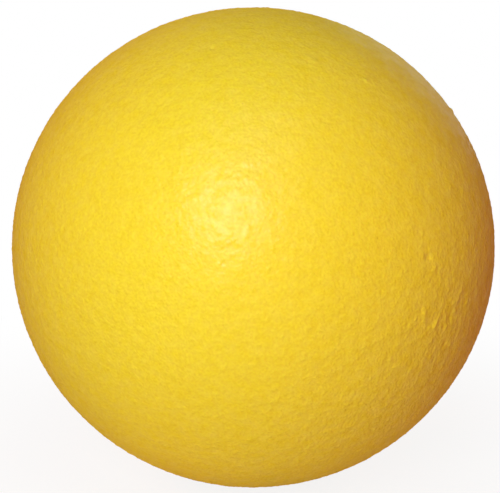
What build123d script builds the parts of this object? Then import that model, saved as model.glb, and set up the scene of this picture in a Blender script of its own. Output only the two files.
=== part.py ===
from build123d import *
import math
import os

# A coated-foam dodgeball, built in the layers that it is made in. A foam core is pushed onto a spike
# and sprayed twice: a clear coat seals its open cells, and a thick pigmented coat makes the skin.
# The spike comes out of the finished ball, and a dab of the same coating closes its hole.
# Every piece is turned about the spike's axis, then tilted to the way the ball lies.
# Millimetres, +Z up, origin at the ball's centre.

# Driving dimensions
BALL_DIAMETER = 178.0  # over the colour skin, the 7 inch league size
COLOUR_SKIN = 0.7  # thickness of the pigmented coat
SEALING_COAT = 0.3  # thickness of the first, clear coat
SPIKE_DIAMETER = 2.4  # the spike that carries the core while it is sprayed
SPIKE_DEPTH = 60.0  # how deep the spike's tip goes into the foam
SPIKE_POINT = 7.0  # length of the spike's ground point
PLUG_DEPTH = 6.0  # how deep the closing dab runs into the foam
BEAD_LAP = 0.3  # how far the bead laps onto the skin around the hole
BEAD_HEIGHT = 0.6  # how far the bead stands above the skin
SPIKE_TILT = 55.0  # degrees from straight up towards +X, as the ball lies

# Radii of the layers' faces, each shared by the two pieces that meet there
SKIN_RADIUS = BALL_DIAMETER / 2
SEAL_RADIUS = SKIN_RADIUS - COLOUR_SKIN
CORE_RADIUS = SEAL_RADIUS - SEALING_COAT
HOLE_RADIUS = SPIKE_DIAMETER / 2
BEAD_RADIUS = HOLE_RADIUS + BEAD_LAP


def on_sphere(radius, offset):
    """Point of a sphere's upper half at this distance from the spike's axis."""
    return (offset, math.sqrt(radius**2 - offset**2))


def layer_arc(radius):
    """Outline of a layer's face, from its south pole up to the edge of the spike hole."""
    return ThreePointArc((0, -radius), (radius, 0), on_sphere(radius, HOLE_RADIUS))


def turned(outline):
    """Solid turned about the spike's axis from half its section, tilted to the way the ball lies."""
    section = make_face(Plane.XZ * outline)
    return Rot(0, SPIKE_TILT, 0) * revolve(section, Axis.Z)


def foam_core():
    """Foam ball with the blind, pointed channel that the spike leaves."""
    tip = (0, CORE_RADIUS - SPIKE_DEPTH)
    shoulder = (HOLE_RADIUS, CORE_RADIUS - SPIKE_DEPTH + SPIKE_POINT)
    channel = Polyline(on_sphere(CORE_RADIUS, HOLE_RADIUS), shoulder, tip, (0, -CORE_RADIUS))
    return turned(layer_arc(CORE_RADIUS) + channel)


def coat(outer_radius, inner_radius):
    """Sprayed shell between two radii, open at the spike hole."""
    hole_wall = Line(on_sphere(outer_radius, HOLE_RADIUS), on_sphere(inner_radius, HOLE_RADIUS))
    axis_edge = Line((0, -inner_radius), (0, -outer_radius))
    return turned(layer_arc(outer_radius) + hole_wall + layer_arc(inner_radius) + axis_edge)


def spike_hole_plug():
    """Closing dab: a stem that fills the hole and a domed bead that seats on the skin."""
    foot = CORE_RADIUS - PLUG_DEPTH
    hole_edge = on_sphere(SKIN_RADIUS, HOLE_RADIUS)
    bead_edge = on_sphere(SKIN_RADIUS, BEAD_RADIUS)
    crown = (0, SKIN_RADIUS + BEAD_HEIGHT)
    stem = Polyline(crown, (0, foot), (HOLE_RADIUS, foot), hole_edge)
    seat = ThreePointArc(hole_edge, on_sphere(SKIN_RADIUS, HOLE_RADIUS + BEAD_LAP / 2), bead_edge)
    dome = TangentArc(crown, bead_edge, tangent=(1, 0))
    return turned(stem + seat + dome)


def build():
    """All pieces of the ball, by name."""
    return {
        "foam_core": foam_core(),
        "sealing_coat": coat(SEAL_RADIUS, CORE_RADIUS),
        "colour_skin": coat(SKIN_RADIUS, SEAL_RADIUS),
        "spike_hole_plug": spike_hole_plug(),
    }


os.makedirs("parts", exist_ok=True)
for name, piece in build().items():
    piece.label = name
    export_step(piece, f"parts/{name}.step")
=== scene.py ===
"""A coated-foam dodgeball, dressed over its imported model.

The ball is made in the layers of the real one: a foam core with the spray spike's channel, a clear
sealing coat, a pebbled yellow skin, and the plug whose bead closes the spike's hole. Metres, +Z up,
origin at the ball's centre; the camera looks along +Y from a little above.
"""

import logging
import math
from dataclasses import dataclass
from enum import Enum
from typing import ClassVar

import bmesh
import bpy
from mathutils import Matrix, Vector, noise


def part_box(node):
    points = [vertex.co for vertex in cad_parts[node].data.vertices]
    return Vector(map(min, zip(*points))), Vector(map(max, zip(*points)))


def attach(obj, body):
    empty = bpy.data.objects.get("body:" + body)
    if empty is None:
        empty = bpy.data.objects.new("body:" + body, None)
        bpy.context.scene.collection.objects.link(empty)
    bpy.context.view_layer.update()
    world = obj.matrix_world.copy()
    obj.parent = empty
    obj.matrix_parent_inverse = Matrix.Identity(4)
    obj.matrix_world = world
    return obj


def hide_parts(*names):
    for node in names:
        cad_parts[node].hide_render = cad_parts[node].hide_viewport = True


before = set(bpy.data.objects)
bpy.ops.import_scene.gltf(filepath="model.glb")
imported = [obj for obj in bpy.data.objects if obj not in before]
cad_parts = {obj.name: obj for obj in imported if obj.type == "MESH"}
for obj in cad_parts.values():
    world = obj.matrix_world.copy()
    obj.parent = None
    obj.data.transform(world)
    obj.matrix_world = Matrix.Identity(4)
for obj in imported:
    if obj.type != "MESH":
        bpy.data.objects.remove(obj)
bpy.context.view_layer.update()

log = logging.getLogger("dodgeball")

MM = 0.001
BODY = "root"

Colour = tuple[float, float, float]
Point = tuple[float, float, float]
Pixel = tuple[float, float]


class Piece(Enum):
    """The ball's pieces: each value is its CAD node and its slot in the record."""

    CORE = ("foam_core", "foam")
    SEAL = ("sealing_coat", "sealer")
    SKIN = ("colour_skin", "yellow_skin")
    PLUG = ("spike_hole_plug", "plug_coating")

    @property
    def node(self) -> str:
        """Name of the CAD node that the piece replaces."""
        return self.value[0]

    @property
    def slot(self) -> str:
        """Name of the record's material slot."""
        return self.value[1]


class Number:
    """A number at a shader socket. Arithmetic on it adds Math nodes."""

    def __init__(self, graph: "Graph", socket: bpy.types.NodeSocket) -> None:
        """Wraps one socket.

        Args:
            graph: the node tree that the socket is in.
            socket: an output that carries a number.
        """
        self.graph = graph
        self.socket = socket

    def _with(self, operation: str, first: "Number | float", second: "Number | float") -> "Number":
        """Result of one Math node.

        Args:
            operation: the Math node's operation.
            first: its first value.
            second: its second value.

        Returns:
            The node's value.
        """
        node = self.graph.node("ShaderNodeMath", {"operation": operation}, {0: first, 1: second})
        return Number(self.graph, node.outputs[0])

    def __add__(self, other: "Number | float") -> "Number":
        """Sum."""
        return self._with("ADD", self, other)

    def __radd__(self, other: float) -> "Number":
        """Sum, with the plain number first."""
        return self._with("ADD", other, self)

    def __sub__(self, other: "Number | float") -> "Number":
        """Difference."""
        return self._with("SUBTRACT", self, other)

    def __rsub__(self, other: float) -> "Number":
        """Difference, with the plain number first."""
        return self._with("SUBTRACT", other, self)

    def __mul__(self, other: "Number | float") -> "Number":
        """Product."""
        return self._with("MULTIPLY", self, other)

    def __rmul__(self, other: float) -> "Number":
        """Product, with the plain number first."""
        return self._with("MULTIPLY", other, self)


class Graph:
    """A node tree, emptied and written afresh."""

    def __init__(self, tree: bpy.types.NodeTree) -> None:
        """Takes over a tree.

        Args:
            tree: the material's or world's node tree.
        """
        self.tree = tree
        tree.nodes.clear()

    def node(self, kind: str, settings: dict | None = None, inputs: dict | None = None) -> bpy.types.Node:
        """Adds one node.

        Args:
            kind: the node's type name.
            settings: its properties, set before its sockets.
            inputs: values or links of its sockets, by name or number.

        Returns:
            The new node.
        """
        made = self.tree.nodes.new(kind)
        for name, value in (settings or {}).items():
            setattr(made, name, value)
        for name, value in (inputs or {}).items():
            source = value.socket if isinstance(value, Number) else value
            if isinstance(source, bpy.types.NodeSocket):
                self.tree.links.new(source, made.inputs[name])
            else:
                made.inputs[name].default_value = source
        return made

    def place(self) -> bpy.types.NodeSocket:
        """Object coordinates, in metres from the ball's centre."""
        return self.node("ShaderNodeTexCoord").outputs["Object"]

    def distance(self, spot: Point) -> Number:
        """Distance from a point of the ball, in metres."""
        made = self.node("ShaderNodeVectorMath", {"operation": "DISTANCE"}, {0: self.place(), 1: spot})
        return Number(self, made.outputs["Value"])

    def noise(self, size: float, detail: float = 2.0, roughness: float = 0.5, shift: float = 0.0) -> Number:
        """Soft noise, about 0 in the middle.

        Args:
            size: width of its largest lumps, in metres.
            detail: octaves of finer lumps.
            roughness: strength of each finer octave.
            shift: moves the pattern, so that two noises of one size differ.

        Returns:
            The noise, mostly from -0.3 to 0.3.
        """
        moved = self.node(
            "ShaderNodeMapping", None, {"Vector": self.place(), "Location": (shift, shift, shift)}
        )
        made = self.node(
            "ShaderNodeTexNoise",
            {"noise_dimensions": "3D"},
            {"Vector": moved.outputs[0], "Scale": 1.0 / size, "Detail": detail, "Roughness": roughness},
        )
        return Number(self, made.outputs["Fac"]) - 0.5

    def cells(self, size: float) -> tuple[Number, Number]:
        """Cells of about one size.

        Args:
            size: width of a cell, in metres.

        Returns:
            The distance from the cell's middle, in cell widths, and a number of each cell's own.
        """
        made = self.node(
            "ShaderNodeTexVoronoi",
            {"voronoi_dimensions": "3D", "feature": "F1"},
            {"Vector": self.place(), "Scale": 1.0 / size},
        )
        own = self.node("ShaderNodeSeparateColor", None, {"Color": made.outputs["Color"]})
        return Number(self, made.outputs["Distance"]), Number(self, own.outputs[0])

    def ramp(self, value: Number, low: float, high: float) -> Number:
        """Smooth step of a number from 0 at low to 1 at high."""
        made = self.node(
            "ShaderNodeMapRange",
            {"interpolation_type": "SMOOTHSTEP"},
            {"Value": value, "From Min": low, "From Max": high},
        )
        return Number(self, made.outputs["Result"])

    def blend(self, share: Number, first: Colour, second: Colour) -> bpy.types.NodeSocket:
        """Colour between two, by a share that changes over the surface.

        Args:
            share: 0 for the first colour, 1 for the second.
            first: linear colour.
            second: linear colour.

        Returns:
            The colour's socket.
        """
        made = self.node(
            "ShaderNodeMix", {"data_type": "RGBA"}, {0: share, 6: (*first, 1.0), 7: (*second, 1.0)}
        )
        return made.outputs[2]

    def relief(self, height: Number) -> bpy.types.NodeSocket:
        """Normal of a surface that stands this many millimetres proud."""
        return self.node("ShaderNodeBump", None, {"Distance": MM, "Height": height}).outputs[0]

    def surface(self, shader: bpy.types.NodeSocket, output: str = "ShaderNodeOutputMaterial") -> None:
        """Sends a shader to the tree's output."""
        self.node(output, None, {"Surface": shader})


def new_material(name: str) -> tuple[bpy.types.Material, Graph]:
    """Makes an empty material.

    Args:
        name: the material's name.

    Returns:
        The material and its graph.
    """
    made = bpy.data.materials.new(name)
    made.use_nodes = True
    return made, Graph(made.node_tree)


@dataclass(frozen=True)
class PebbleShape:
    """One pebble of the grain: how far it reaches, in cell widths, and how its height varies."""

    reach: float = 0.7
    least: float = 0.4
    spread: float = 1.2


PEBBLE = PebbleShape()


@dataclass(frozen=True)
class GrainZones:
    """Where the skin's grain is stronger: near a rough spot, and away from a calm one."""

    rough_spot: Point = (0.0, 0.0, 0.0)
    calm_spot: Point = (0.0, 0.0, 0.0)
    rough_width: float = 85.0 * MM
    rough_more: float = 0.35
    calm_inner: float = 20.0 * MM
    calm_outer: float = 95.0 * MM
    away_more: float = 0.65

    def strength(self, rough: Number | float, away: Number | float) -> Number | float:
        """Strength of the grain from its two shares, least on the calm spot."""
        return 1.0 + rough * self.rough_more + away * self.away_more


@dataclass(frozen=True)
class SkinFinish:
    """Sprayed, pigmented coating: satin, with fine peel, pebbles and grain, faint mottling and pinholes.

    Part of the gloss follows the grain, and part is a film that lies over it in patches. High indexes,
    brought down to the gloss by a tint or a weight, keep the sheen even until close to the rim. Heights
    and depths are in millimetres. The tones say how far a pattern takes the colour to the deep one.
    The mottle's tone is the coating's own uneven colour. The peel, grain and pit tones are painted
    shade, which darkens the hollows of the relief towards the deep colour.
    """

    EVEN_IOR: ClassVar[float] = 7.0
    FILM_IOR: ClassVar[float] = 3.4

    name: str
    colour: Colour = (0.95, 0.750, 0.028)
    # The deep colour is both the mottle's darker tone and the painted shade in the relief's hollows.
    deep_and_shade_colour: Colour = (0.86, 0.612, 0.020)
    gloss: float = 0.019
    roughness: float = 0.40
    film_gloss: float = 0.019
    film_roughness: float = 0.36
    film_patches: float = 3.4
    peel_size: float = 2.2 * MM
    peel_height: float = 0.14
    grain_size: float = 0.85 * MM
    grain_height: float = 0.077
    pebble_size: float = 1.25 * MM
    pebble_height: float = 0.037
    zones: GrainZones = GrainZones()
    pit_spacing: float = 7.0 * MM
    pit_depth: float = 0.05
    pit_inner: float = 0.03
    pit_outer: float = 0.075
    pit_from: float = 0.45
    pit_to: float = 0.5
    mottle_size: float = 18.0 * MM
    patch_size: float = 3.6 * MM
    base_tone: float = 0.30
    mottle_tone: float = 0.3
    # Painted shade: how far the hollows of the peel and grain, and the pits, are darkened.
    peel_shade: float = 0.6
    grain_shade: float = 1.3
    pit_shade: float = 0.6
    patch_roughness: float = 0.10
    mottle_roughness: float = 0.06

    def material(self) -> bpy.types.Material:
        """Writes the coating's shader.

        Returns:
            The material.
        """
        made, graph = new_material(self.name)
        peel = graph.noise(self.peel_size, detail=1.3)
        grain = graph.noise(self.grain_size, detail=0.5, shift=3.1)
        mottle = graph.noise(self.mottle_size, detail=3.0, shift=1.7)
        patch = graph.noise(self.patch_size, detail=1.5, shift=5.3)
        from_pit, pit_kind = graph.cells(self.pit_spacing)
        pit = 1.0 - graph.ramp(from_pit, self.pit_inner, self.pit_outer)
        pit = pit * graph.ramp(pit_kind, self.pit_from, self.pit_to)
        from_pebble, pebble_kind = graph.cells(self.pebble_size)
        pebble = 1.0 - graph.ramp(from_pebble, 0.0, PEBBLE.reach)
        pebble = pebble * (PEBBLE.least + pebble_kind * PEBBLE.spread)
        zones = self.zones
        rough = 1.0 - graph.ramp(graph.distance(zones.rough_spot), 0.0, zones.rough_width)
        away = graph.ramp(graph.distance(zones.calm_spot), zones.calm_inner, zones.calm_outer)
        relief = peel * self.peel_height + grain * self.grain_height + pebble * self.pebble_height
        height = relief * zones.strength(rough, away) - pit * self.pit_depth
        # Painted shade: the peel, grain and pit terms darken the hollows of the relief; the mottle term is
        # the coating's own uneven tone.
        tone = self.base_tone + mottle * self.mottle_tone - peel * self.peel_shade
        tone = tone - grain * self.grain_shade + pit * self.pit_shade
        tint = self.gloss * ((self.EVEN_IOR + 1) / (self.EVEN_IOR - 1)) ** 2
        film = self.film_gloss * ((self.FILM_IOR + 1) / (self.FILM_IOR - 1)) ** 2
        uneven = self.roughness + patch * self.patch_roughness + mottle * self.mottle_roughness
        shader = graph.node(
            "ShaderNodeBsdfPrincipled",
            None,
            {
                "Base Color": graph.blend(tone, self.colour, self.deep_and_shade_colour),
                "Roughness": uneven,
                "IOR": self.EVEN_IOR,
                "Specular Tint": (tint, tint, tint, 1.0),
                "Coat Weight": film * (1.0 + patch * self.film_patches),
                "Coat Roughness": self.film_roughness,
                "Coat IOR": self.FILM_IOR,
                "Normal": graph.relief(height),
            },
        )
        graph.surface(shader.outputs[0])
        return made


@dataclass(frozen=True)
class FoamFinish:
    """Moulded soft foam: matt, cream, with open cells, whose depth is in millimetres."""

    name: str = "foam"
    colour: Colour = (0.80, 0.74, 0.56)
    # Painted shade in the cells' hollows, and also the darker end of the foam's own cloudy tone.
    cell_shade_and_cloud_colour: Colour = (0.52, 0.45, 0.29)
    cell_size: float = 1.6 * MM
    cell_depth: float = 0.35
    cell_inner: float = 0.1
    cell_outer: float = 0.6
    cell_least: float = 0.4
    cell_spread: float = 0.6
    cloud_size: float = 12.0 * MM
    cloud_tone: float = 0.4
    roughness: float = 0.85
    cloud_roughness: float = 0.2
    specular: float = 0.2

    def material(self) -> bpy.types.Material:
        """Writes the foam's shader.

        Returns:
            The material.
        """
        made, graph = new_material(self.name)
        from_middle, own = graph.cells(self.cell_size)
        hollow = 1.0 - graph.ramp(from_middle, self.cell_inner, self.cell_outer)
        depth = hollow * (self.cell_least + own * self.cell_spread)
        cloud = graph.noise(self.cloud_size, detail=3.0)
        shader = graph.node(
            "ShaderNodeBsdfPrincipled",
            None,
            {
                # Painted shade: the colour darkens with each cell's depth; the cloud adds the foam's own
                # uneven tone.
                "Base Color": graph.blend(depth + cloud * self.cloud_tone, self.colour, self.cell_shade_and_cloud_colour),
                "Roughness": self.roughness + cloud * self.cloud_roughness,
                "Specular IOR Level": self.specular,
                "Normal": graph.relief(depth * -self.cell_depth),
            },
        )
        graph.surface(shader.outputs[0])
        return made


@dataclass(frozen=True)
class SealerFinish:
    """Clear first coat, milky over the foam that it seals; its dimples' height is in millimetres."""

    name: str = "sealer"
    colour: Colour = (0.78, 0.72, 0.60)
    thin_colour: Colour = (0.70, 0.62, 0.44)
    cloud_size: float = 9.0 * MM
    base_tone: float = 0.5
    cloud_tone: float = 1.4
    roughness: float = 0.3
    cloud_roughness: float = 0.2
    dimple_size: float = 2.2 * MM
    dimple_height: float = 0.12

    def material(self) -> bpy.types.Material:
        """Writes the sealing coat's shader.

        Returns:
            The material.
        """
        made, graph = new_material(self.name)
        cloud = graph.noise(self.cloud_size, detail=4.0, roughness=0.6)
        dimple = graph.noise(self.dimple_size, detail=1.0, shift=2.3)
        tone = self.base_tone + cloud * self.cloud_tone
        shader = graph.node(
            "ShaderNodeBsdfPrincipled",
            None,
            {
                "Base Color": graph.blend(tone, self.colour, self.thin_colour),
                "Roughness": self.roughness + cloud * self.cloud_roughness,
                "Normal": graph.relief(dimple * self.dimple_height),
            },
        )
        graph.surface(shader.outputs[0])
        return made


@dataclass(frozen=True)
class BallSizes:
    """Sizes that the pieces share, in metres."""

    skin_radius: float
    seal_radius: float
    core_radius: float
    spike_axis: Vector
    hole_radius: float = 1.2 * MM
    bead_lap: float = 0.3 * MM
    bead_height: float = 0.42 * MM
    spike_depth: float = 60.0 * MM
    spike_point: float = 7.0 * MM
    plug_depth: float = 6.0 * MM
    settle: float = 0.994

    @classmethod
    def from_frame(cls) -> "BallSizes":
        """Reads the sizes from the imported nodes: radii to 0.1 mm, and the axis through the plug's middle.

        Returns:
            The sizes.
        """
        radii = []
        for piece in (Piece.SKIN, Piece.SEAL, Piece.CORE):
            low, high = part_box(piece.node)
            radii.append(round(max(high - low) / 2, 4))
        low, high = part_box(Piece.PLUG.node)
        return cls(*radii, spike_axis=(low + high).normalized())

    def lay(self) -> Matrix:
        """Turn from the spike upright to the way the ball lies, settled a little under its own weight."""
        turn = self.spike_axis.to_track_quat("Z", "Y").to_matrix().to_4x4()
        return Matrix.Diagonal((1.0, 1.0, self.settle, 1.0)) @ turn


@dataclass(frozen=True)
class ProductView:
    """The camera, set so that the ball fills the frame as it does in the photograph."""

    ball_radius: float
    distance: float = 0.60
    elevation: float = math.radians(15.0)
    roll: float = math.radians(-0.65)
    sensor: float = 36.0
    frame_size: Pixel = (500.0, 493.0)
    ball_pixel: Pixel = (253.27, 247.24)
    ball_half_width: float = 241.4

    def back(self) -> Vector:
        """Direction from the ball to the camera."""
        return Vector((0.0, -math.cos(self.elevation), math.sin(self.elevation)))

    def focal(self) -> float:
        """Focal length in pixels."""
        return self.ball_half_width / math.tan(math.asin(self.ball_radius / self.distance))

    def turn(self) -> Matrix:
        """Camera's rotation: it aims beside the ball's centre by the photograph's offset.

        Returns:
            A rotation from the camera's axes to the ball's.
        """
        right = Vector((1.0, 0.0, 0.0))
        up = self.back().cross(right)
        aside = (self.frame_size[0] / 2 - self.ball_pixel[0]) / self.focal()
        above = (self.ball_pixel[1] - self.frame_size[1] / 2) / self.focal()
        sight = right * aside + up * above - self.back()
        return sight.to_track_quat("-Z", "Y").to_matrix() @ Matrix.Rotation(self.roll, 3, "Z")

    def spot(self, pixel: Pixel) -> Vector:
        """Direction from the ball's centre to what shows at a pixel.

        Args:
            pixel: place in the photograph, on the ball.

        Returns:
            A direction of length 1.
        """
        across = pixel[0] - self.frame_size[0] / 2
        below = pixel[1] - self.frame_size[1] / 2
        sight = (self.turn() @ Vector((across, -below, -self.focal()))).normalized()
        start = self.back() * self.distance
        along = -start.dot(sight)
        half_chord = math.sqrt(max(0.0, self.ball_radius**2 - start.length_squared + along**2))
        return (start + sight * (along - half_chord)).normalized()

    def set_up(self) -> bpy.types.Object:
        """Adds the camera and makes it the scene's own.

        Returns:
            The camera.
        """
        data = bpy.data.cameras.new("product_camera")
        data.sensor_width = self.sensor
        data.lens = self.focal() * self.sensor / self.frame_size[0]
        camera = bpy.data.objects.new("product_camera", data)
        camera.matrix_world = Matrix.Translation(self.back() * self.distance) @ self.turn().to_4x4()
        bpy.context.scene.collection.objects.link(camera)
        bpy.context.scene.camera = camera
        return camera


@dataclass(frozen=True)
class Mark:
    """One lump, dent or wrinkle of the skin.

    The pixel is its middle in the photograph, the length and width are in metres, the height is
    negative in a dent, and the bearing turns its length from level, in degrees.
    """

    pixel: Pixel
    length: float
    width: float
    height: float
    bearing: float = 0.0


MARKS = (
    Mark((428.0, 257.0), 2.8 * MM, 3.2 * MM, -0.52 * MM, 95.0),
    Mark((436.0, 323.0), 4.2 * MM, 2.0 * MM, 0.40 * MM, 65.0),
    Mark((450.5, 317.5), 3.4 * MM, 2.0 * MM, -0.36 * MM, 70.0),
    Mark((424.5, 315.0), 3.0 * MM, 2.0 * MM, 0.30 * MM, 75.0),
    Mark((445.0, 344.0), 3.4 * MM, 2.2 * MM, -0.32 * MM, 60.0),
    Mark((435.0, 268.0), 3.4 * MM, 2.4 * MM, 0.28 * MM, 80.0),
    Mark((410.0, 326.0), 3.0 * MM, 2.2 * MM, 0.26 * MM, 60.0),
    Mark((431.0, 341.0), 3.2 * MM, 2.2 * MM, 0.28 * MM, 65.0),
    Mark((457.0, 300.0), 3.0 * MM, 2.2 * MM, 0.26 * MM, 75.0),
    Mark((366.5, 79.5), 2.6 * MM, 1.8 * MM, 0.28 * MM, -40.0),
    Mark((315.0, 60.0), 2.4 * MM, 1.8 * MM, 0.28 * MM, -20.0),
    Mark((247.0, 162.5), 5.0 * MM, 2.8 * MM, 0.17 * MM, -25.0),
    Mark((223.5, 248.5), 3.6 * MM, 1.6 * MM, -0.16 * MM, 10.0),
    Mark((213.0, 47.0), 2.2 * MM, 2.0 * MM, -0.34 * MM),
    Mark((237.0, 478.0), 2.4 * MM, 1.8 * MM, 0.26 * MM),
)


class SkinRelief:
    """Relief of the skin that is wide enough to model: slow swells, peel, pebbles, dimples and marks.

    It dies away towards the spike's hole, so that the bead has an even seat.
    """

    ROUGH_PIXEL = (424.0, 340.0)
    CALM_PIXEL = (395.0, 165.0)
    SWELL_SIZE = 16.0 * MM
    SWELL_HEIGHT = 0.06 * MM
    SWELL_SHIFT = Vector((7.0, 3.0, 1.0))
    PEEL_SIZE = 4.6 * MM
    PEEL_HEIGHT = 0.09 * MM
    PEEL_SHIFT = Vector((2.0, 9.0, 4.0))
    PEEL_ROUGH_WIDTH = 40.0 * MM
    PEEL_ROUGH_MORE = 0.9
    PEBBLE_SIZE = 1.9 * MM
    PEBBLE_HEIGHT = 0.092 * MM
    PEBBLE_MEAN = 0.35
    DIMPLE_SPACING = 4.6 * MM
    DIMPLE_HEIGHT = 0.17 * MM
    DIMPLE_SHIFT = Vector((5.0, 1.0, 8.0))
    DIMPLE_INNER = 0.04
    DIMPLE_OUTER = 0.27
    DIMPLE_MEAN = 0.6
    KIND_SCALE = 7.3
    MARK_REACH = 1.6
    SEAT_INNER = 1.8 * MM
    SEAT_OUTER = 7.0 * MM

    def __init__(self, sizes: BallSizes, view: ProductView) -> None:
        """Places the zones and the marks on the ball.

        Args:
            sizes: the ball's sizes.
            view: the camera, which says where a pixel of the photograph is on the ball.
        """
        self.sizes = sizes
        self.rough_spot = view.spot(self.ROUGH_PIXEL)
        self.calm_spot = view.spot(self.CALM_PIXEL)
        self.zones = GrainZones(
            tuple(self.rough_spot * sizes.skin_radius), tuple(self.calm_spot * sizes.skin_radius)
        )
        self.marks = []
        for mark in MARKS:
            out = view.spot(mark.pixel)
            level = Vector((0.0, 0.0, 1.0)).cross(out).normalized()
            turned = Matrix.Rotation(math.radians(mark.bearing), 3, out) @ level
            self.marks.append((mark, out, turned, out.cross(turned)))

    def near_mark(self, out: Vector) -> bool:
        """True in a direction that one of the marks reaches."""
        radius, reach = self.sizes.skin_radius, self.MARK_REACH
        return any((out - middle).length * radius < mark.length * reach for mark, middle, _, _ in self.marks)

    @staticmethod
    def smooth(value: float, low: float, high: float) -> float:
        """Smooth step of a number from 0 at low to 1 at high."""
        share = min(1.0, max(0.0, (value - low) / (high - low)))
        return share * share * (3 - 2 * share)

    def cell(self, place: Vector) -> tuple[float, float]:
        """Distance from the nearest of a field of scattered points, and a number of that point's own."""
        distances, points = noise.voronoi(place)
        return distances[0], 0.5 + 0.5 * noise.cell(points[0] * self.KIND_SCALE)

    def grain(self, out: Vector) -> float:
        """Height of the pebbles and dimples, stronger in the zones.

        Args:
            out: direction from the ball's centre, of length 1.

        Returns:
            Metres, about 0 in the mean.
        """
        radius, zones = self.sizes.skin_radius, self.zones
        from_pebble, pebble_kind = self.cell(out * (radius / self.PEBBLE_SIZE))
        pebble = 1.0 - self.smooth(from_pebble, 0.0, PEBBLE.reach)
        pebble *= PEBBLE.least + pebble_kind * PEBBLE.spread
        from_dimple, dimple_kind = self.cell(out * (radius / self.DIMPLE_SPACING) + self.DIMPLE_SHIFT)
        dimple = 1.0 - self.smooth(from_dimple, self.DIMPLE_INNER, self.DIMPLE_OUTER)
        dimple *= dimple_kind - self.DIMPLE_MEAN
        rough = 1.0 - self.smooth((out - self.rough_spot).length * radius, 0.0, zones.rough_width)
        away = self.smooth((out - self.calm_spot).length * radius, zones.calm_inner, zones.calm_outer)
        total = (pebble - self.PEBBLE_MEAN) * self.PEBBLE_HEIGHT + dimple * self.DIMPLE_HEIGHT
        return total * zones.strength(rough, away)

    def height(self, out: Vector) -> float:
        """Height of the skin over its mean.

        Args:
            out: direction from the ball's centre, of length 1.

        Returns:
            Metres, negative in a dent.
        """
        radius = self.sizes.skin_radius
        swell = noise.noise(out * (radius / self.SWELL_SIZE) + self.SWELL_SHIFT)
        peel = noise.noise(out * (radius / self.PEEL_SIZE) + self.PEEL_SHIFT)
        from_rough = (out - self.rough_spot).length * radius / self.PEEL_ROUGH_WIDTH
        peel *= 1.0 + self.PEEL_ROUGH_MORE * math.exp(-from_rough * from_rough)
        total = swell * self.SWELL_HEIGHT + peel * self.PEEL_HEIGHT + self.grain(out)
        for mark, middle, along, across in self.marks:
            away = (out - middle) * radius
            if away.length < mark.length * self.MARK_REACH:
                far = (2 * away.dot(along) / mark.length) ** 2 + (2 * away.dot(across) / mark.width) ** 2
                total += mark.height * math.exp(-far)
        from_spike = out.angle(self.sizes.spike_axis) * radius
        return total * self.smooth(from_spike, self.SEAT_INNER, self.SEAT_OUTER)


class BallMaker:
    """Makes the pieces' meshes with the spike's axis upright, then lays them as the ball lies."""

    HIDDEN_SEGMENTS = 24
    HOLE_BLOCK = 2
    CUBE_TOP = 0.999

    def __init__(self, sizes: BallSizes) -> None:
        """Keeps the shared sizes."""
        self.sizes = sizes

    @staticmethod
    def rims(mesh: bmesh.types.BMesh) -> list[bmesh.types.BMEdge]:
        """The open edges, which are the rims of the spike's hole."""
        return [edge for edge in mesh.edges if edge.is_boundary]

    def open_ball(self, mesh: bmesh.types.BMesh, radius: float, segments: int) -> None:
        """Adds an evenly divided ball with a round hole for the spike at its top.

        Args:
            mesh: where it is added.
            radius: the ball's radius.
            segments: faces along each side of the cube that it starts from, an even number.
        """
        older = len(mesh.verts)
        cube = bmesh.ops.create_cube(mesh, size=2.0)["verts"]
        sides = list(dict.fromkeys(edge for vert in cube for edge in vert.link_edges))
        bmesh.ops.subdivide_edges(mesh, edges=sides, cuts=segments - 1, use_grid_fill=True)
        mesh.verts.ensure_lookup_table()
        verts = mesh.verts[older:]
        block = (self.HOLE_BLOCK + 0.5) * 2.0 / segments
        top = [vert for vert in verts if vert.co.z > self.CUBE_TOP]
        inside = [vert for vert in top if max(abs(vert.co.x), abs(vert.co.y)) < block]
        held = set(inside)
        around = dict.fromkeys(face for vert in inside for face in vert.link_faces)
        hole = [face for face in around if held.issuperset(face.verts)]
        for vert in verts:
            even = Vector([math.tan(side * math.pi / 4) for side in vert.co])
            vert.co = even.normalized() * radius
        bmesh.ops.delete(mesh, geom=hole, context="FACES")
        left = dict.fromkeys(edge for vert in inside if vert.is_valid for edge in vert.link_edges)
        border = [edge for edge in left if edge.is_boundary]
        grown = bmesh.ops.extrude_edge_only(mesh, edges=border)["geom"]
        level = math.sqrt(radius**2 - self.sizes.hole_radius**2)
        for vert in [item for item in grown if isinstance(item, bmesh.types.BMVert)]:
            flat = Vector((vert.co.x, vert.co.y, 0.0)).normalized() * self.sizes.hole_radius
            vert.co = flat + Vector((0.0, 0.0, level))

    def shell(self, mesh: bmesh.types.BMesh, outer: float, inner: float, segments: int) -> None:
        """Adds a coat: two open balls joined by the wall of the spike's hole.

        Args:
            mesh: where it is added.
            outer: the outer face's radius.
            inner: the inner face's radius.
            segments: divisions of the outer face.
        """
        self.open_ball(mesh, outer, segments)
        self.open_ball(mesh, inner, self.HIDDEN_SEGMENTS)
        bmesh.ops.bridge_loops(mesh, edges=self.rims(mesh))
        bmesh.ops.recalc_face_normals(mesh, faces=mesh.faces)

    def place(self, mesh: bmesh.types.BMesh, piece: Piece, material: bpy.types.Material) -> bpy.types.Object:
        """Lays a finished mesh and makes it the piece that stands for its CAD node.

        Args:
            mesh: the mesh, with the spike's axis upright.
            piece: which piece it is.
            material: its finish.

        Returns:
            The piece's object.
        """
        bmesh.ops.transform(mesh, matrix=self.sizes.lay(), verts=mesh.verts)
        for face in mesh.faces:
            face.smooth = True
        data = bpy.data.meshes.new(f"{piece.node}_piece")
        mesh.to_mesh(data)
        mesh.free()
        data.materials.append(material)
        made = bpy.data.objects.new(f"{piece.node}_piece", data)
        bpy.context.scene.collection.objects.link(made)
        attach(made, BODY)
        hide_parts(piece.node)
        log.info("%s: %d faces", made.name, len(data.polygons))
        return made


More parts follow.
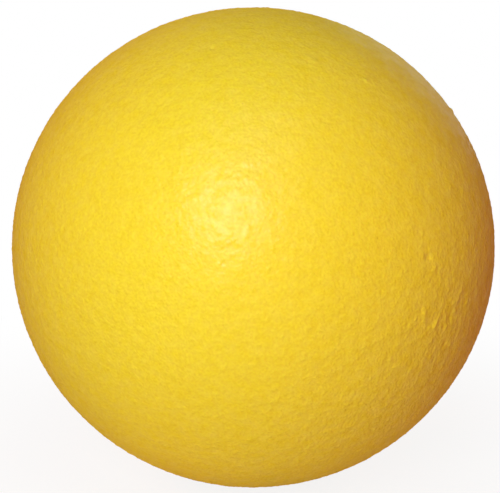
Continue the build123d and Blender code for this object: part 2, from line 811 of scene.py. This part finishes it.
@dataclass
class FoamCore:
    """The foam ball, with the surface of its cells and the spike's channel."""

    maker: BallMaker
    segments: int = 100
    cell_size: float = 4.0 * MM
    least_depth: float = 0.06 * MM
    cell_depth: float = 0.22 * MM

    def build(self) -> bpy.types.Object:
        """Returns:
            The core's object.
        """
        sizes = self.maker.sizes
        mesh = bmesh.new()
        self.maker.open_ball(mesh, sizes.core_radius, self.segments)
        rim = self.maker.rims(mesh)
        rim_verts = {vert for edge in rim for vert in edge.verts}
        for vert in mesh.verts:
            if vert not in rim_verts:
                hollow = 0.5 + 0.5 * noise.noise(vert.co / self.cell_size)
                vert.co -= vert.co.normalized() * (self.least_depth + self.cell_depth * hollow)
        self._channel(mesh, rim)
        bmesh.ops.recalc_face_normals(mesh, faces=mesh.faces)
        made = self.maker.place(mesh, Piece.CORE, FoamFinish().material())
        return made

    def _channel(self, mesh: bmesh.types.BMesh, rim: list[bmesh.types.BMEdge]) -> None:
        """Sinks the spike's blind channel from the rim to its point.

        Args:
            mesh: the core's mesh.
            rim: edges of the hole's rim.
        """
        sizes = self.maker.sizes
        shoulder = sizes.core_radius - sizes.spike_depth + sizes.spike_point
        grown = bmesh.ops.extrude_edge_only(mesh, edges=rim)["geom"]
        for vert in [item for item in grown if isinstance(item, bmesh.types.BMVert)]:
            vert.co.z = shoulder
        foot = [item for item in grown if isinstance(item, bmesh.types.BMEdge) and item.is_boundary]
        grown = bmesh.ops.extrude_edge_only(mesh, edges=foot)["geom"]
        tip = Vector((0.0, 0.0, sizes.core_radius - sizes.spike_depth))
        point = [item for item in grown if isinstance(item, bmesh.types.BMVert)]
        bmesh.ops.pointmerge(mesh, verts=point, merge_co=tip)


@dataclass
class SealingCoat:
    """The clear first coat."""

    maker: BallMaker

    def build(self) -> bpy.types.Object:
        """Makes the coat.

        Returns:
            The coat's object.
        """
        sizes = self.maker.sizes
        mesh = bmesh.new()
        self.maker.shell(mesh, sizes.seal_radius, sizes.core_radius, self.maker.HIDDEN_SEGMENTS)
        return self.maker.place(mesh, Piece.SEAL, SealerFinish().material())


@dataclass
class ColourSkin:
    """The pebbled yellow skin."""

    maker: BallMaker
    relief: SkinRelief
    segments: int = 208
    mark_cuts: int = 1

    def build(self) -> bpy.types.Object:
        """Returns:
            The skin's object.
        """
        sizes = self.maker.sizes
        mesh = bmesh.new()
        self.maker.shell(mesh, sizes.skin_radius, sizes.seal_radius, self.segments)
        lay = sizes.spike_axis.to_track_quat("Z", "Y")
        middle = (sizes.skin_radius + sizes.seal_radius) / 2
        outside = [vert for vert in mesh.verts if vert.co.length > middle]
        marked = {vert for vert in outside if self.relief.near_mark(lay @ vert.co.normalized())}
        fine = [edge for edge in mesh.edges if marked.issuperset(edge.verts)]
        bmesh.ops.subdivide_edges(mesh, edges=fine, cuts=self.mark_cuts, use_grid_fill=True)
        for vert in mesh.verts:
            if vert.co.length > middle:
                out = vert.co.normalized()
                vert.co = out * (sizes.skin_radius + self.relief.height(lay @ out))
        finish = SkinFinish("yellow_skin", zones=self.relief.zones)
        made = self.maker.place(mesh, Piece.SKIN, finish.material())
        return made


@dataclass
class SpikeHolePlug:
    """The dab of coating in the spike's hole, with a bead that leans as it set."""

    maker: BallMaker
    turns: int = 32
    dome_steps: int = 10
    dome_power: float = 1.5
    lean: float = 0.25 * MM
    merge: float = 0.001 * MM

    def build(self) -> bpy.types.Object:
        """Spins the plug's outline about the spike's axis and leans its bead.

        Returns:
            The plug's object.
        """
        sizes = self.maker.sizes
        mesh = bmesh.new()
        chain = [mesh.verts.new((across, 0.0, up)) for across, up in self._outline()]
        edges = [mesh.edges.new(pair) for pair in zip(chain, chain[1:])]
        bmesh.ops.spin(
            mesh,
            geom=chain + edges,
            cent=(0.0, 0.0, 0.0),
            axis=(0.0, 0.0, 1.0),
            angle=2 * math.pi,
            steps=self.turns,
            use_merge=True,
        )
        bmesh.ops.remove_doubles(mesh, verts=mesh.verts, dist=self.merge)
        bmesh.ops.recalc_face_normals(mesh, faces=mesh.faces)
        for vert in mesh.verts:
            proud = max(0.0, vert.co.length - sizes.skin_radius) / sizes.bead_height
            vert.co.y += self.lean * proud
        finish = SkinFinish(
            "plug_coating", peel_height=0.05, grain_height=0.03, pebble_height=0.01, pit_depth=0.0
        )
        return self.maker.place(mesh, Piece.PLUG, finish.material())

    def _outline(self) -> list[tuple[float, float]]:
        """Half the plug's section, from the foot of the stem to the bead's crown.

        Returns:
            Distances from the axis and heights over the ball's centre.
        """
        sizes = self.maker.sizes
        foot = sizes.core_radius - sizes.plug_depth
        edge = math.sqrt(sizes.skin_radius**2 - sizes.hole_radius**2)
        outline = [(0.0, foot), (sizes.hole_radius, foot), (sizes.hole_radius, edge)]
        bead_radius = sizes.hole_radius + sizes.bead_lap
        for step in range(self.dome_steps + 1):
            across = bead_radius * (1.0 - step / self.dome_steps)
            skin = math.sqrt(sizes.skin_radius**2 - across**2)
            rise = 1.0 - (across / bead_radius) ** 2
            outline.append((across, skin + sizes.bead_height * rise**self.dome_power))
        return outline


@dataclass(frozen=True)
class Lamp:
    """A round softbox that faces the ball, placed by bearing and elevation in degrees.

    One that isn't mirrored lights the ball but doesn't show in its gloss.
    """

    name: str
    bearing: float
    elevation: float
    power: float
    colour: Colour = (1.0, 1.0, 1.0)
    distance: float = 1.2
    width: float = 0.5
    mirrored: bool = True

    def hang(self) -> bpy.types.Object:
        """Adds the lamp.

        Returns:
            The lamp's object.
        """
        turn, rise = math.radians(self.bearing), math.radians(self.elevation)
        out = Vector((math.sin(turn) * math.cos(rise), -math.cos(turn) * math.cos(rise), math.sin(rise)))
        data = bpy.data.lights.new(self.name, "AREA")
        data.shape = "DISK"
        data.size = self.width
        data.energy = self.power
        data.color = self.colour
        made = bpy.data.objects.new(self.name, data)
        made.visible_glossy = self.mirrored
        made.matrix_world = (
            Matrix.Translation(out * self.distance) @ out.to_track_quat("Z", "Y").to_matrix().to_4x4()
        )
        bpy.context.scene.collection.objects.link(made)
        return made


LAMPS = (
    Lamp("key", -12.5, 29.5, 6.0),
    Lamp("near_front", -17.0, 6.0, 0.97, distance=0.6, width=0.2, mirrored=False),
    Lamp("overhead", 2.0, 60.0, 0.68, distance=0.6, width=0.3, mirrored=False),
    Lamp("warm_right", 76.0, 8.0, 2.1, (1.0, 0.05, 0.02), width=0.3, mirrored=False),
    Lamp("warm_left", -118.0, 25.0, 2.5, (1.0, 0.05, 0.02), width=0.3, mirrored=False),
    Lamp("back", 180.0, 8.0, 4.0, mirrored=False),
    Lamp("back_left", -166.0, 20.0, 3.0, (1.0, 0.85, 0.70), width=0.7, mirrored=False),
    Lamp("back_right", 157.0, 10.0, 2.6, (0.80, 1.0, 0.95), width=0.55),
)


@dataclass
class Studio:
    """Pale floor, white surround and soft lamps.

    The near and far floor colours, and the ambient one, are those of the light thrown on the ball.
    """

    sizes: BallSizes
    ambient: float = 0.02
    ambient_colour: Colour = (1.0, 0.60, 0.40)
    floor_width: float = 24.0
    near_floor: Colour = (0.73, 0.60, 0.40)
    far_floor: Colour = (0.50, 0.37, 0.25)
    floor_paint: Colour = (0.9, 0.9, 0.9)
    floor_glow: float = 0.86
    white_from: float = 0.25

    def seen(self, graph: Graph) -> Number:
        """Tells the rays that show the background: the camera's, mirrored ones and those through glass.

        Args:
            graph: the floor's or the world's nodes.

        Returns:
            1 for such a ray and 0 for others.
        """
        path = graph.node("ShaderNodeLightPath")
        kinds = ("Is Camera Ray", "Is Glossy Ray", "Is Transmission Ray")
        camera, glossy, through = [Number(graph, path.outputs[kind]) for kind in kinds]
        return camera + glossy + through

    def lay_floor(self) -> bpy.types.Object:
        """Adds the floor under the ball.

        What shows of it is plain paint that takes the ball's shadow, with a glow that grows to white
        away from the ball. The light that it throws back on the ball is warm.

        Returns:
            The floor.
        """
        mesh = bmesh.new()
        bmesh.ops.create_grid(mesh, x_segments=1, y_segments=1, size=self.floor_width / 2)
        drop = Matrix.Translation((0.0, 0.0, -self.sizes.skin_radius * self.sizes.settle))
        bmesh.ops.transform(mesh, matrix=drop, verts=mesh.verts)
        data = bpy.data.meshes.new("floor")
        mesh.to_mesh(data)
        mesh.free()
        material, graph = new_material("pale_floor")
        far = graph.node("ShaderNodeVectorMath", {"operation": "LENGTH"}, {0: graph.place()})
        away = graph.ramp(Number(graph, far.outputs["Value"]), self.sizes.skin_radius, self.white_from)
        white = self.floor_glow + away * (1.0 - self.floor_glow)
        colour = graph.blend(away, self.near_floor, self.far_floor)
        warm = graph.node("ShaderNodeBsdfDiffuse", None, {"Color": colour})
        paint = graph.node("ShaderNodeBsdfDiffuse", None, {"Color": (*self.floor_paint, 1.0)})
        glow = graph.node("ShaderNodeEmission", None, {"Strength": 1.0})
        shown = graph.node("ShaderNodeMixShader", None, {0: white, 1: paint.outputs[0], 2: glow.outputs[0]})
        both = graph.node(
            "ShaderNodeMixShader", None, {0: self.seen(graph), 1: warm.outputs[0], 2: shown.outputs[0]}
        )
        graph.surface(both.outputs[0])
        data.materials.append(material)
        floor = bpy.data.objects.new("floor", data)
        bpy.context.scene.collection.objects.link(floor)
        return floor

    def surround(self) -> None:
        """White surround that shows at full strength and lights the ball softly."""
        world = bpy.data.worlds.new("studio")
        world.use_nodes = True
        graph = Graph(world.node_tree)
        tinted = {"Strength": self.ambient, "Color": (*self.ambient_colour, 1.0)}
        soft = graph.node("ShaderNodeBackground", None, tinted)
        plain = {"Strength": 1.0, "Color": (1.0, 1.0, 1.0, 1.0)}
        white = graph.node("ShaderNodeBackground", None, plain)
        both = graph.node(
            "ShaderNodeMixShader", None, {0: self.seen(graph), 1: soft.outputs[0], 2: white.outputs[0]}
        )
        graph.surface(both.outputs[0], "ShaderNodeOutputWorld")
        bpy.context.scene.world = world

    def build(self) -> None:
        """Adds the floor, the surround and the lamps."""
        self.lay_floor()
        self.surround()
        for lamp in LAMPS:
            lamp.hang()
        bpy.context.scene.view_settings.view_transform = "Standard"


def main() -> None:
    """Builds the ball from the inside out, then the studio round it."""
    logging.basicConfig(level=logging.INFO, format="%(name)s: %(message)s")
    sizes = BallSizes.from_frame()
    view = ProductView(sizes.skin_radius)
    maker = BallMaker(sizes)
    FoamCore(maker).build()
    SealingCoat(maker).build()
    ColourSkin(maker, SkinRelief(sizes, view)).build()
    SpikeHolePlug(maker).build()
    Studio(sizes).build()
    view.set_up()


if __name__ == "__main__":
    main()
